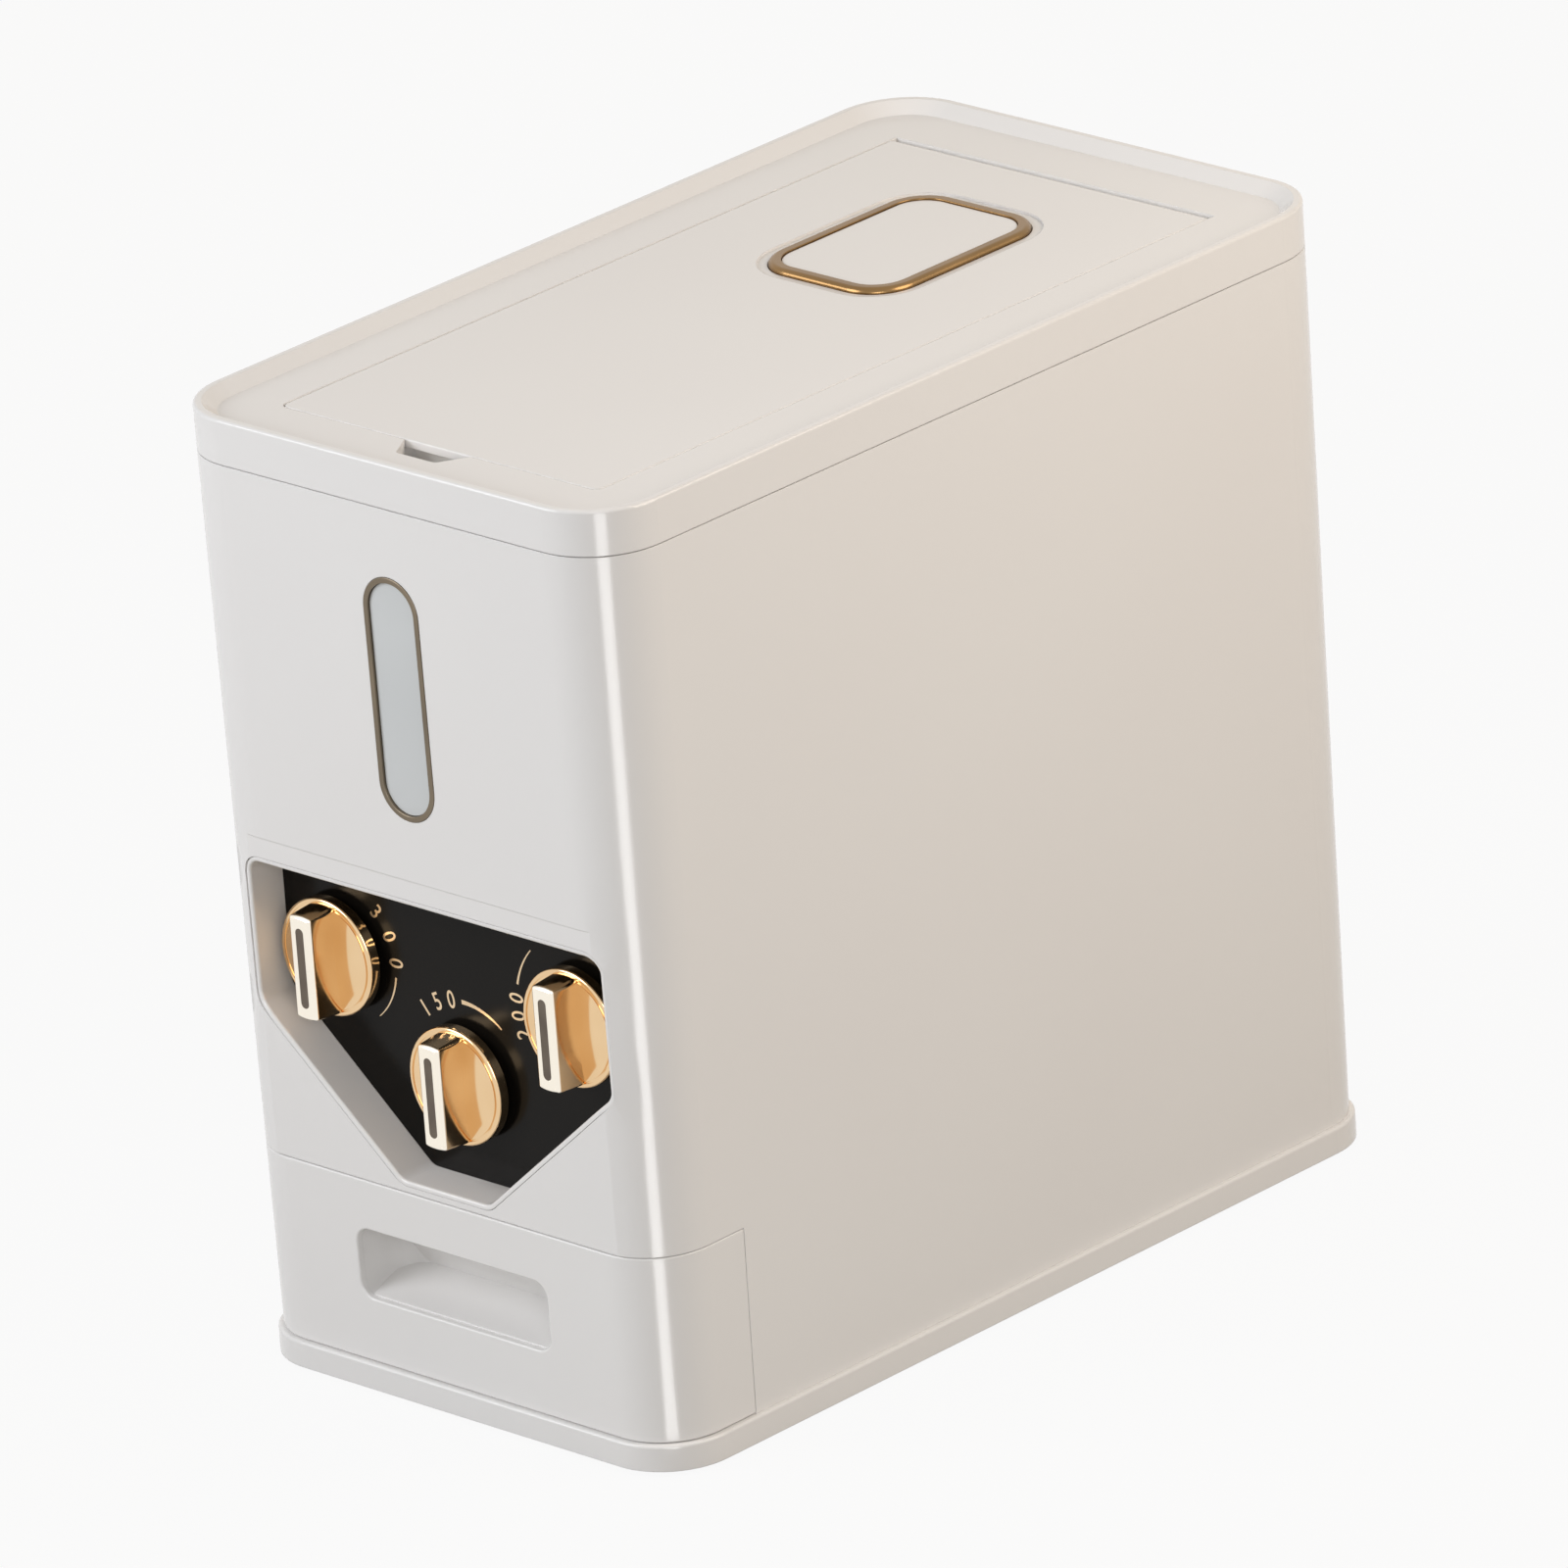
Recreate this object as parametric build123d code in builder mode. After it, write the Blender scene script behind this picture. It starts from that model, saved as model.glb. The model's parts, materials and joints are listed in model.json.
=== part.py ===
from build123d import *
import os
from math import atan2, cos, degrees, pi, radians, sin, sqrt, tan

os.makedirs("parts", exist_ok=True)

# Rice dispenser with three measuring drums and a rice drawer, in millimetres.
# X runs to the right, Y to the back and Z up. The origin is under the middle of the dispenser.

# ---------------------------------------------------------------- body outline
rim_width = 202.0          # over the top rim
rim_depth = 363.0
overall_height = 345.0
corner_radius = 27.0       # upright corners, at the top rim
side_draft = 4.0           # each wall leans out by this much over the full height
wall = 2.5                 # moulded outer wall
fit = 0.3                  # clearance between pieces that slide, swing or drop in
cut_extra = 1.0            # how far a cutting shape runs past the face that it cuts
draft_angle = degrees(atan2(side_draft, overall_height))
QUARTER_TURN = 90

# ---------------------------------------------------------------- heights of the seams
foot_height = 1.5          # underside of the plinth above the table
base_height = 10.8         # top of the plinth
base_lip = 2.0             # how far the plinth stands proud of the body
drawer_seam = 78.5         # top of the drawer front
step_top = 195.0           # top of the shallow flat step in the front wall
step_depth = 0.5
rim_height = 16.5          # the top rim's own height above its seam
shadow_gap = 0.4           # open joint line under the rim

# ---------------------------------------------------------------- control recess
recess_top = 185.5
recess_bottom = 82.5
recess_side = 20.3         # from the rim's side to the recess
recess_shoulder = 135.0    # height where the sides turn inwards
recess_toe = 20.0          # half width of the bottom edge
recess_depth = 16.0
recess_corner = 6.0
bezel_wall = 1.8
bezel_flange = 3.0
bezel_flange_thickness = 2.0
bezel_edge = 1.0           # rounding of the visible edge
panel_thickness = 2.5
post_radius = 4.0          # screw posts between the front wall and the dial panel
post_ear = 1.0             # rim of the panel's ears round the posts
ear_inwards = 0.2          # an ear's root, as a share of the way to the middle of the width
ear_levelling = 0.35       # and of the way to the middle of the height
post_side = 11.0           # upper posts' axes, in from the rim's side
post_high = 172.0
low_post_x = 62.0
post_low = 99.0

# ---------------------------------------------------------------- window
window_width = 25.0
window_bottom = 217.1
window_below_rim = 24.4    # from the window's top to the seam of the rim
window_ring = 2.0          # visible width of the frame
window_proud = 0.35
window_edge = 0.28         # rounding of the frame's proud edges
window_flange = 3.0
window_flange_thickness = 1.5
pane_recess = 0.8
gasket_thickness = 1.0
clamp_thickness = 1.5

# ---------------------------------------------------------------- drums and knobs
knob_side = 24.7           # from the recess's side to the axis of an outer knob
knob_high = 152.0          # axis of the outer knobs
knob_low = 118.0           # axis of the middle knob
rice_density = 0.0008      # grams in a cubic millimetre of loose rice
pocket_length = 184.0
slot_half_angle = 50.0
drum_wall = 1.5
drum_end = 2.0
block_wall = 2.5
block_plate = 3.0
bearing_plate_thickness = 3.0
block_flange = 3.0
block_flange_overhang = 8.0
boss_radius = 4.0
boss_length = 15.0
spindle_radius = 5.0
spindle_flat = 1.2         # depth of the flat on the spindle
running_fit = 0.1
bush_radius = 7.0
bush_flange_radius = 8.5
bush_flange = 0.8
hub_radius = 8.0
socket_depth = 14.0
stub_radius = 4.0
stub_length = 7.5
clip_radius = 6.5
clip_thickness = 1.0
clip_groove = 0.8

knob_radius = 21.0
knob_disc = 4.2
knob_edge = 0.9            # rounding of the disc's rim
dome_rise = 1.5            # how far the disc's middle stands in front of its rim
groove_inset = 1.6         # land between the disc's rim and its groove
groove_width = 0.8
groove_depth = 0.5
disc_standoff = 7.2        # front of the knob's disc above the dial panel
knob_hub_radius = 15.0
knob_gap = 1.3             # air between the knob's hub and the dial panel
grip_width = 11.6          # at its root
grip_reach = 19.8          # radius of the grip's round ends at their root
grip_proud = 2.7           # how far the grip stands in front of the front wall
grip_taper = 5.0
grip_edge = 1.6
grip_corner = 2.0
inlay_width = 3.6
inlay_length = 29.0
inlay_depth = 0.6

# ---------------------------------------------------------------- hopper floor
throat_z = 188.0           # underside of the hopper floor at the throats
floor_thickness = 2.5
side_rise = 15.0           # how far the floor climbs to the side walls
flow_angle = 35.0          # slope of the ridges between the throats
rear_flow_angle = 32.0
front_flow_angle = 38.0
ledge_width = 3.0
ledge_height = 3.0

# ---------------------------------------------------------------- chute under the drums
chute_wall = 2.0
chute_bottom = 79.5
chute_top = 132.0
chute_inset = 1.0          # the chute's mouth stays this far inside the tray's walls

# ---------------------------------------------------------------- drawer
wing_length = 44.5         # how far the drawer front's side wings run back
drawer_edge = 0.6          # rounding of the drawer front's long edges
handle_half_width = 44.0
handle_bottom = 34.5
handle_top = 60.0
handle_corner = 6.0
handle_edge = 0.8          # rounding round the finger opening
handle_depth = 25.0
pocket_climb = 12.0        # slope of the pocket's floor
pocket_overhang = 8.0      # how far the pocket's back wall leans out at its top
pocket_corner = 11.0       # upright corners at the back of the pocket
pocket_wall = 1.8
tray_wall = 2.0
tray_side = 15.0           # from the rim's side to the tray
tray_length = 212.7
tray_bottom = 16.0
tray_top = 76.0
tray_corner = 8.0
tray_gap = 0.5             # between the handle pocket and the tray
runner_thickness = 2.5
runner_width = 8.0
runner_lip = 8.0
runner_past = 4.0          # how far the runners go on behind the tray
drawer_post_inset = 20.0   # screw posts, in from the tray's sides
drawer_post_low = 27.0
drawer_post_high = 64.0

# ---------------------------------------------------------------- base, feet and screws
base_wall = 2.5
base_plate = 3.0
base_edge = 1.0
base_rib = 2.0
upstand = 6.0
upstand_wall = 2.0
upstand_start = 12.0       # the low wall begins this far behind the drawer's wings
foot_radius = 9.0
foot_inset = 26.0
foot_thickness = 3.0
screw_radius = 1.5
screw_head_radius = 3.0
screw_head = 2.0
screw_length = 9.0
screw_clear = 0.05
base_screw_side = 17.0     # in from the rim's side
base_screw_past = 48.8     # front row, from the rim's front, further than the tray is long
base_screw_behind = 46.5   # rear row, in from the rim's rear
base_post_radius = 4.5

# ---------------------------------------------------------------- top rim and lid
rim_wall = 3.0
rim_lip = 3.0              # top of the rim, from its outside to its inner slope
rim_edge = 1.2             # rounding of the rim's outer top edge
rim_slope = 5.0            # width of the inner slope down to the deck
deck_drop = 4.0            # deck below the top of the rim
deck_thickness = 2.5
plug_depth = 6.0
plug_wall = 2.0
lid_side = 28.5            # from the rim's side to the lid
lid_ahead = 28.8           # from the rim's front to the lid
hinge_behind = 34.5        # from the hinge axis to the rim's rear
lid_thickness = 3.0
lid_edge = 0.5             # rounding of the lid's top edge
lid_gap = 0.5
lid_corner = 3.0
mouth_corner = 10.0
shelf_width = 6.0
shelf_thickness = 2.2
barrel_radius = 3.5
pin_radius = 1.5
pin_length = 14.0
pin_in_lid = 6.5
hinge_block = 10.0
notch_half_width = 15.3    # at the lid
notch_front_half_width = 9.0
notch_depth = 11.0
notch_drop = 9.0
notch_corner = 3.0
notch_wall = 2.0
notch_reach = 4.0          # how far the notch runs back under the lid
skirt_depth = 8.0
skirt_wall = 2.0
seal_width = 2.2
seal_height = 4.0

# ---------------------------------------------------------------- moisture box in the lid
cap_width = 61.0
cap_length = 85.0
cap_corner = 16.0
cap_ahead = 74.0           # from the cap's middle to the hinge axis
cap_ring_width = 4.5
cap_proud = 1.2            # ring above the lid
cap_flange = 1.2
cap_round = 2.0            # rounding of the ring's outer edge
cap_step = 0.6             # pad below the top of the ring
cap_skirt = 7.0
cap_skirt_wall = 1.6
moat_width = 4.0
moat_depth = 0.8
cup_depth = 34.0
cup_wall = 1.8
cup_flange = 3.0
cup_flange_thickness = 2.0
vent_width = 2.5
vent_length = 30.0
vent_pitch = 9.0
vent_count = 7


# ---------------------------------------------------------------- places that follow the outline
rim_seam = overall_height - rim_height        # underside of the top rim
recess_half_width = rim_width / 2 - recess_side
post_places = [(rim_width / 2 - post_side, post_high), (low_post_x, post_low)]
window_height = rim_seam - window_below_rim - window_bottom
window_centre = window_bottom + window_height / 2
knob_spread = recess_half_width - knob_side   # outer knobs, left and right of the middle
wing_end = wing_length - rim_depth / 2
upstand_front = wing_end + upstand_start
tray_half_width = rim_width / 2 - tray_side
chute_half_width = tray_half_width - tray_wall - chute_inset + chute_wall
drawer_post_x = tray_half_width - drawer_post_inset
drawer_posts = [(drawer_post_x, drawer_post_low), (drawer_post_x, drawer_post_high)]
base_screw_x = rim_width / 2 - base_screw_side
base_screw_rows = [base_screw_past + tray_length - rim_depth / 2, rim_depth / 2 - base_screw_behind]
lid_half_width = rim_width / 2 - lid_side
lid_front = lid_ahead - rim_depth / 2
hinge_y = rim_depth / 2 - hinge_behind
cap_y = hinge_y - cap_ahead


# ---------------------------------------------------------------- shared geometry
def width_at(z):
    """Width of the body's outside at height z."""
    return rim_width - 2 * side_draft * (overall_height - z) / overall_height


def depth_at(z):
    """Depth of the body's outside at height z."""
    return rim_depth - 2 * side_draft * (overall_height - z) / overall_height


def corner_at(z):
    """Radius of the upright corners at height z."""
    return corner_radius - side_draft * (overall_height - z) / overall_height


def front_at(z):
    """Y of the front wall's outside at height z."""
    return -depth_at(z) / 2


def wall_front(x, z, inset):
    """Y of the front wall at x and z, inset from its outside, also round the upright corners."""
    corner = corner_at(z)
    beyond = max(0, abs(x) - (width_at(z) / 2 - corner))
    return front_at(z) + corner - sqrt((corner - inset) ** 2 - beyond ** 2)


def at_depth(y):
    """A plane square to the front, seen from the front: its x is X and its y is Z."""
    return Plane(origin=(0, y, 0), x_dir=(1, 0, 0), z_dir=(0, -1, 0))


def skin_plane(z, inwards=0.0):
    """A plane that lies on the sloping front wall at height z, or inwards of it."""
    slope = radians(draft_angle)
    skin = Plane(origin=(0, front_at(z), z), x_dir=(1, 0, 0), z_dir=(0, -cos(slope), -sin(slope)))
    return skin.offset(-inwards)


def skin_block(z_low, z_high, inset=0.0, mode=Mode.ADD):
    """A block between two heights whose sloping sides follow the body's outside, inset from it."""
    with BuildSketch(Plane.XY.offset(z_low)) as outline:
        RectangleRounded(
            width_at(z_low) - 2 * inset, depth_at(z_low) - 2 * inset, corner_at(z_low) - inset
        )
    extrude(outline.sketch, amount=z_high - z_low, taper=-draft_angle, mode=mode)


def upright_block(x_range, y_range, z_range, mode=Mode.ADD):
    """A plain block given by its limits along X, Y and Z."""
    size = [high - low for low, high in (x_range, y_range, z_range)]
    middle = [(low + high) / 2 for low, high in (x_range, y_range, z_range)]
    with Locations(tuple(middle)):
        Box(*size, mode=mode)


def rod(x, z, y_front, y_rear, radius, mode=Mode.ADD):
    """A round rod along Y."""
    with BuildSketch(at_depth(y_rear)) as section:
        with Locations((x, z)):
            Circle(radius)
    extrude(section.sketch, amount=y_rear - y_front, mode=mode)


def finish(name, builder):
    """Labels a finished piece and writes it."""
    builder.part.label = name
    export_step(builder.part, f"parts/{name}.step")


def recess_outline(y, grow):
    """The outline of the control recess, y deep and grown outwards all round."""
    corners = [
        (-recess_half_width, recess_top),
        (-recess_half_width, recess_shoulder),
        (-recess_toe, recess_bottom),
        (recess_toe, recess_bottom),
        (recess_half_width, recess_shoulder),
        (recess_half_width, recess_top),
    ]
    with BuildSketch(at_depth(y)) as outline:
        with BuildLine():
            Polyline(*corners, close=True)
        make_face()
        fillet(outline.vertices(), radius=recess_corner)
        if grow:
            offset(amount=grow)
    return outline.sketch


def slot_ring(inwards, thickness, grow_outer, grow_inner):
    """A ring on the front wall that follows the window's outline."""
    with BuildSketch(skin_plane(window_centre, inwards + thickness)) as ring:
        SlotOverall(window_height + 2 * grow_outer, window_width + 2 * grow_outer, rotation=90)
        if grow_inner is not None:
            SlotOverall(
                window_height + 2 * grow_inner, window_width + 2 * grow_inner, rotation=90,
                mode=Mode.SUBTRACT,
            )
    extrude(ring.sketch, amount=thickness)


# Planes that the control panel and the drums share
recess_middle = (recess_top + recess_bottom) / 2
panel_front = front_at(recess_middle) + step_depth + recess_depth
panel_back = panel_front + panel_thickness
block_plate_back = panel_back + block_plate
drum_front = block_plate_back + fit
drum_length = pocket_length + 2 * drum_end
drum_rear = drum_front + drum_length
block_rear = drum_rear + fit
bearing_back = block_rear + bearing_plate_thickness
slot_front = drum_front + drum_end
slot_rear = slot_front + pocket_length
drawer_front_gap = drawer_seam - fit
deck_z = overall_height - deck_drop
lid_underside = deck_z - lid_thickness


def pocket_radius(grams):
    """Radius of a drum's pocket that holds this much rice."""
    return sqrt(grams / (rice_density * pi * pocket_length))


# side, x, z and the rice that one turn gives
drums = [
    ("left", -knob_spread, knob_high, 300.0),
    ("middle", 0.0, knob_low, 150.0),
    ("right", knob_spread, knob_high, 200.0),
]


def slot_half_width(grams):
    """Half the width of a drum's slot, and of the throat above it."""
    return pocket_radius(grams) * sin(radians(slot_half_angle))


def bore_radius(grams):
    """Radius of the block's bore round a drum."""
    return pocket_radius(grams) + drum_wall + fit


# ---------------------------------------------------------------- body shell
hopper_edge = throat_z + side_rise          # underside of the hopper floor at the side walls
hopper_outside = width_at(hopper_edge) / 2
hopper_inner = hopper_outside - wall
left_slot_edge = -knob_spread - slot_half_width(drums[0][3])
right_slot_edge = knob_spread + slot_half_width(drums[2][3])
rear_inner = -front_at(overall_height) - wall
rear_climb = (rear_inner - slot_rear) * tan(radians(rear_flow_angle))
hopper_rear_edge = throat_z + rear_climb

with BuildPart() as body_shell:
    skin_block(base_height, rim_seam)
    skin_block(base_height - cut_extra, rim_seam + cut_extra, wall, Mode.SUBTRACT)
    # the front and its corners stop above the drawer
    upright_block(
        (-rim_width, rim_width), (-rim_depth, wing_end), (base_height - cut_extra, drawer_seam),
        Mode.SUBTRACT,
    )
    # shallow flat step across the lower front
    with BuildSketch(Plane.YZ):
        with BuildLine():
            Polyline(
                (front_at(drawer_seam) + step_depth, drawer_seam),
                (front_at(step_top) + step_depth, step_top),
                (front_at(step_top) - cut_extra, step_top),
                (front_at(drawer_seam) - cut_extra, drawer_seam),
                close=True,
            )
        make_face()
    extrude(amount=rim_width, both=True, mode=Mode.SUBTRACT)
    # openings for the control bezel and the window
    extrude(
        recess_outline(panel_front, bezel_wall + fit / 2), amount=rim_depth / 2, mode=Mode.SUBTRACT
    )
    with BuildSketch(skin_plane(window_centre, wall + cut_extra)):
        SlotOverall(window_height + fit, window_width + fit, rotation=90)
    extrude(amount=wall + 2 * cut_extra, mode=Mode.SUBTRACT)
    # screw posts behind the front wall
    for x, z in post_places:
        for side in (-1, 1):
            wall_face = wall_front(x + post_radius, z, (wall + step_depth) / 2)
            rod(side * x, z, wall_face, panel_front, post_radius)
            rod(
                side * x, z, panel_front - screw_length, panel_front, screw_radius + screw_clear,
                Mode.SUBTRACT,
            )
    # ledges that carry the hopper floor, sloped like it
    for side, slot_edge in ((-1, left_slot_edge), (1, right_slot_edge)):
        slope = side_rise / (hopper_outside - abs(slot_edge))
        inner_x = hopper_inner - ledge_width
        outer_x = hopper_inner + wall / 2
        with BuildSketch(at_depth(slot_rear)):
            with BuildLine():
                Polyline(
                    (side * inner_x, throat_z + slope * (inner_x - abs(slot_edge))),
                    (side * outer_x, throat_z + slope * (outer_x - abs(slot_edge))),
                    (side * outer_x, throat_z - ledge_height),
                    close=True,
                )
            make_face()
        extrude(amount=slot_rear - slot_front)
    rear_wall = depth_at(hopper_rear_edge) / 2 - wall
    upright_block(
        (-knob_spread, knob_spread),
        (rear_wall - ledge_width, rear_wall + wall / 2),
        (hopper_rear_edge - 3 * ledge_height, hopper_rear_edge - 2 * ledge_height),
    )
    # posts for the base screws, each with a web to the side wall
    post_web = width_at(base_height) / 2 - wall / 2 - base_screw_x
    for side in (-1, 1):
        for y in base_screw_rows:
            with BuildSketch(Plane.XY.offset(base_height)):
                with Locations((side * base_screw_x, y)):
                    Circle(base_post_radius)
                with Locations((side * (base_screw_x + post_web / 2), y)):
                    Rectangle(post_web, base_rib)
            extrude(amount=3 * screw_length)
            with BuildSketch(Plane.XY.offset(base_height)):
                with Locations((side * base_screw_x, y)):
                    Circle(screw_radius + screw_clear)
            extrude(amount=screw_length, mode=Mode.SUBTRACT)
finish("body_shell", body_shell)


# ---------------------------------------------------------------- base and feet
plinth_width = width_at(base_height) + 2 * base_lip
plinth_depth = depth_at(base_height) + 2 * base_lip
plinth_corner = corner_at(base_height) + base_lip
foot_x = plinth_width / 2 - foot_inset
foot_y = plinth_depth / 2 - foot_inset
foot_places = [(side * foot_x, end * foot_y) for side in (-1, 1) for end in (-1, 1)]
base_screw_places = [(side * base_screw_x, y) for side in (-1, 1) for y in base_screw_rows]
head_z = base_height - base_plate - screw_head

with BuildPart() as base_tray:
    with BuildSketch(Plane.XY.offset(foot_height)):
        RectangleRounded(plinth_width, plinth_depth, plinth_corner)
    extrude(amount=base_height - foot_height)
    fillet(base_tray.faces().sort_by(Axis.Z)[-1].edges(), radius=base_edge)
    with BuildSketch(Plane.XY.offset(foot_height)):
        RectangleRounded(
            plinth_width - 2 * base_wall, plinth_depth - 2 * base_wall, plinth_corner - base_wall
        )
    extrude(amount=base_height - foot_height - base_plate, mode=Mode.SUBTRACT)
    # ribs under the floor and a round seat above each foot
    with BuildSketch(Plane.XY.offset(foot_height)):
        with GridLocations(2 * foot_x / 3, 1, 4, 1):
            Rectangle(base_rib, plinth_depth - base_wall)
        with GridLocations(1, 2 * foot_y / 5, 1, 6):
            Rectangle(plinth_width - base_wall, base_rib)
        with Locations(*foot_places):
            Circle(foot_radius + base_rib)
    extrude(amount=base_height - foot_height - base_plate)
    with BuildSketch(Plane.XY.offset(foot_height)):
        with Locations(*foot_places):
            Circle(foot_radius)
        with Locations(*base_screw_places):
            Circle(screw_head_radius + fit)
    extrude(amount=foot_thickness - foot_height, mode=Mode.SUBTRACT)
    with BuildSketch(Plane.XY.offset(foot_height)):
        with Locations(*base_screw_places):
            Circle(screw_head_radius + fit)
    extrude(amount=base_height - base_plate - foot_height, mode=Mode.SUBTRACT)
    with BuildSketch(Plane.XY.offset(foot_height)):
        with Locations(*base_screw_places):
            Circle(screw_radius + screw_clear)
    extrude(amount=base_height, mode=Mode.SUBTRACT)
    # low wall that locates the body, left out where the drawer runs
    with BuildSketch(Plane.XY.offset(base_height)):
        outer = 2 * (wall + fit)
        inner = 2 * (wall + fit + upstand_wall)
        corner = corner_at(base_height)
        RectangleRounded(
            width_at(base_height) - outer, depth_at(base_height) - outer, corner - outer / 2
        )
        RectangleRounded(
            width_at(base_height) - inner, depth_at(base_height) - inner, corner - inner / 2,
            mode=Mode.SUBTRACT,
        )
        with Locations((0, upstand_front)):
            Rectangle(rim_width, rim_depth, align=(Align.CENTER, Align.MAX), mode=Mode.SUBTRACT)
        with Locations(*base_screw_places):
            Circle(base_post_radius + fit, mode=Mode.SUBTRACT)
            Rectangle(8 * base_post_radius, base_rib + 2 * fit, mode=Mode.SUBTRACT)
    extrude(amount=upstand)
finish("base_tray", base_tray)

with BuildPart() as foot_pads:
    with BuildSketch():
        with Locations(*foot_places):
            Circle(foot_radius - fit)
    extrude(amount=foot_thickness)
    chamfer(foot_pads.edges().group_by(Axis.Z)[0], length=base_edge / 2)
finish("foot_pads", foot_pads)

with BuildPart() as base_screws:
    with BuildSketch(Plane.XY.offset(head_z)):
        with Locations(*base_screw_places):
            Circle(screw_head_radius)
    extrude(amount=screw_head)
    chamfer(base_screws.edges().group_by(Axis.Z)[0], length=screw_head / 3)
    with BuildSketch(Plane.XY.offset(head_z + screw_head)):
        with Locations(*base_screw_places):
            Circle(screw_radius)
    extrude(amount=base_plate + screw_length - cut_extra)
finish("base_screws", base_screws)


# ---------------------------------------------------------------- window
slot_wall = wall + window_flange_thickness
pane_back = slot_wall + window_flange_thickness
gasket_back = pane_back + gasket_thickness
with BuildPart() as window_frame:
    slot_ring(-window_proud, window_proud + slot_wall, 0, -window_ring)
    slot_ring(wall, window_flange_thickness, window_flange, -window_ring)
    fillet(window_frame.faces().sort_by(Axis.Y)[0].edges(), radius=window_edge)
finish("window_frame", window_frame)

with BuildPart() as window_pane:
    slot_ring(pane_recess, slot_wall - pane_recess, -window_ring - fit / 2, None)
    slot_ring(slot_wall, window_flange_thickness, window_flange / 2, None)
finish("window_pane", window_pane)

with BuildPart() as window_gasket:
    slot_ring(pane_back, gasket_thickness, window_flange / 2, -window_ring)
finish("window_gasket", window_gasket)

with BuildPart() as window_clamp:
    clamp_inside = window_flange + fit
    slot_ring(gasket_back, clamp_thickness, clamp_inside + clamp_thickness, -window_ring)
    slot_ring(wall, gasket_back - wall, clamp_inside + clamp_thickness, clamp_inside)
finish("window_clamp", window_clamp)


# ---------------------------------------------------------------- control recess
with BuildPart() as control_bezel:
    extrude(recess_outline(panel_front, bezel_wall), amount=rim_depth / 2)
    skin_block(drawer_seam, rim_seam, step_depth, Mode.INTERSECT)
    extrude(
        recess_outline(panel_front, bezel_wall + bezel_flange), amount=bezel_flange_thickness
    )
    extrude(
        recess_outline(panel_front, 0), amount=rim_depth / 2, mode=Mode.SUBTRACT
    )
    front_edges = control_bezel.edges(Select.LAST).filter_by_position(
        Axis.Y, -rim_depth, panel_front - recess_depth / 2
    )
    fillet(front_edges, radius=bezel_edge)
finish("control_bezel", control_bezel)

all_posts = [(side * x, z) for x, z in post_places for side in (-1, 1)]
drum_axes = [(x, z) for side, x, z, grams in drums]
with BuildPart() as dial_panel:
    extrude(recess_outline(panel_back, bezel_wall + bezel_flange), amount=panel_thickness)
    with BuildSketch(at_depth(panel_back)):
        with Locations(*all_posts):
            Circle(post_radius + post_ear)
        for x, z in all_posts:
            with BuildLine():
                Line((x, z), (x * (1 - ear_inwards), z + (recess_middle - z) * ear_levelling))
            trace(line_width=2 * post_radius)
    extrude(amount=panel_thickness)
    with BuildSketch(at_depth(panel_back)):
        with Locations(*drum_axes):
            Circle(bush_radius)
        with Locations(*all_posts):
            Circle(screw_radius + screw_clear)
    extrude(amount=panel_thickness, mode=Mode.SUBTRACT)
finish("dial_panel", dial_panel)

with BuildPart() as panel_screws:
    with BuildSketch(at_depth(panel_back + screw_head)):
        with Locations(*all_posts):
            Circle(screw_head_radius)
    extrude(amount=screw_head)
    chamfer(panel_screws.edges().group_by(Axis.Y)[-1], length=screw_head / 3)
    with BuildSketch(at_depth(panel_back)):
        with Locations(*all_posts):
            Circle(screw_radius)
    extrude(amount=panel_thickness + screw_length - cut_extra)
finish("panel_screws", panel_screws)


# ---------------------------------------------------------------- metering block
flange_half = knob_spread + slot_half_width(drums[0][3]) + block_wall + block_flange_overhang
boss_places = []
for place, (side, x, z, grams) in enumerate(drums):
    reach = (bore_radius(grams) + block_wall + boss_radius / 2) * cos(radians(45))
    if side == "middle":
        boss_places += [(x - reach, z - reach), (x + reach, z - reach)]
    else:
        boss_places.append((x + reach if x > 0 else x - reach, z + reach))


def block_section():
    """The metering block's outline seen from the front: three rings, their throats and the flange."""
    for side, x, z, grams in drums:
        with Locations((x, z)):
            Circle(bore_radius(grams) + block_wall)
        with Locations((x, (z + throat_z) / 2)):
            Rectangle(2 * (slot_half_width(grams) + block_wall), throat_z - z)
    with Locations((0, throat_z - block_flange / 2)):
        Rectangle(2 * flange_half, block_flange)


with BuildPart() as metering_block:
    with BuildSketch(at_depth(block_rear)):
        block_section()
        for side, x, z, grams in drums:
            with Locations((x, z)):
                Circle(bore_radius(grams), mode=Mode.SUBTRACT)
                Rectangle(
                    2 * slot_half_width(grams), throat_z, align=(Align.CENTER, Align.MIN),
                    mode=Mode.SUBTRACT,
                )
                Rectangle(
                    2 * slot_half_width(grams), 2 * bore_radius(grams),
                    align=(Align.CENTER, Align.MAX), mode=Mode.SUBTRACT,
                )
    extrude(amount=block_rear - block_plate_back)
    # front plate that closes the bores
    with BuildSketch(at_depth(block_plate_back)):
        block_section()
        with Locations((0, (knob_low + throat_z) / 2)):
            Rectangle(2 * knob_spread, throat_z - knob_low)
        with Locations(*drum_axes):
            Circle(bush_radius, mode=Mode.SUBTRACT)
    extrude(amount=block_plate)
    # screw bosses at the rear end
    with BuildSketch(at_depth(block_rear)):
        with Locations(*boss_places):
            Circle(boss_radius)
        for side, x, z, grams in drums:
            with Locations((x, z)):
                Circle(bore_radius(grams) + block_wall / 2, mode=Mode.SUBTRACT)
    extrude(amount=boss_length)
    with BuildSketch(at_depth(block_rear)):
        with Locations(*boss_places):
            Circle(screw_radius + screw_clear)
    extrude(amount=screw_length, mode=Mode.SUBTRACT)
finish("metering_block", metering_block)

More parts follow.
